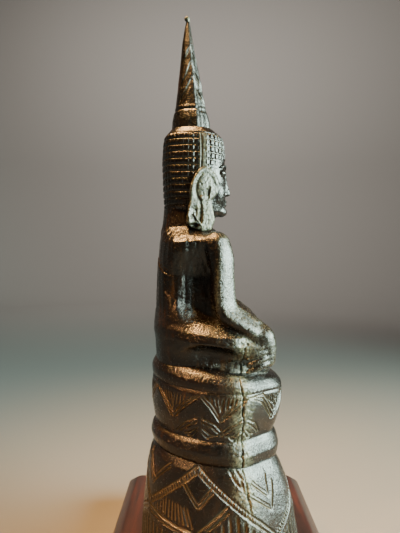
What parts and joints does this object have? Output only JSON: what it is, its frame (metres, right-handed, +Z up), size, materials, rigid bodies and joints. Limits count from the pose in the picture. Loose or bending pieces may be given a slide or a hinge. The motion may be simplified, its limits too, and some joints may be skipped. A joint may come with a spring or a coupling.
{
  "type": "carved buddha statue",
  "caption": "Seated buddha with a tall spire, hand over the shin, carved in one piece with a waisted banded pedestal, standing on a bevelled wooden plinth.",
  "frame": {"origin": "centre of the plinth's underside, on the surface that it stands on", "axes": "+Z up, the figure faces -Y and its right hand is on the -X side"},
  "size_m": [0.156, 0.112, 0.283],
  "materials": {
    "horn": null,
    "plinth_wood": "reddish brown varnished hardwood"
  },
  "bodies": {
    "root": {"buddha": "horn", "plinth": "plinth_wood"}
  },
  "joints": []
}
